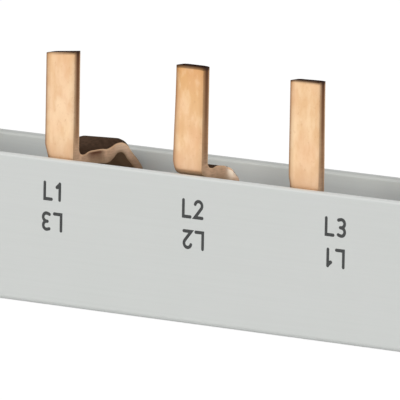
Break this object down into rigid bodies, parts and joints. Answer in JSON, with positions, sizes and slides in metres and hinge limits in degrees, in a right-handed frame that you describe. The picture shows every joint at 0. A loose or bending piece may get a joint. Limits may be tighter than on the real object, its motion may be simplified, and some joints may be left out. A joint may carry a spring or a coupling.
{
  "type": "comb busbar",
  "caption": "Three-phase comb busbar: stacked copper combs with flat pin teeth in a grey open-topped plastic housing with end caps.",
  "frame": {"origin": "middle of the housing's flat underside", "axes": "+X along the bar, -Y out of the marked front wall, +Z the way the teeth point"},
  "size_m": [0.1634, 0.0142, 0.026],
  "materials": {
    "housing_plastic": "extruded, faintly drawn lines along its length",
    "cap_plastic": "moulded, fine matte grain",
    "copper": "bright rolled copper with darker sheared edges"
  },
  "bodies": {
    "root": {"housing": "housing_plastic", "phase_bar_1": "copper", "phase_bar_2": "copper", "phase_bar_3": "copper", "end_cap_left": "cap_plastic", "end_cap_right": "cap_plastic"}
  },
  "joints": []
}
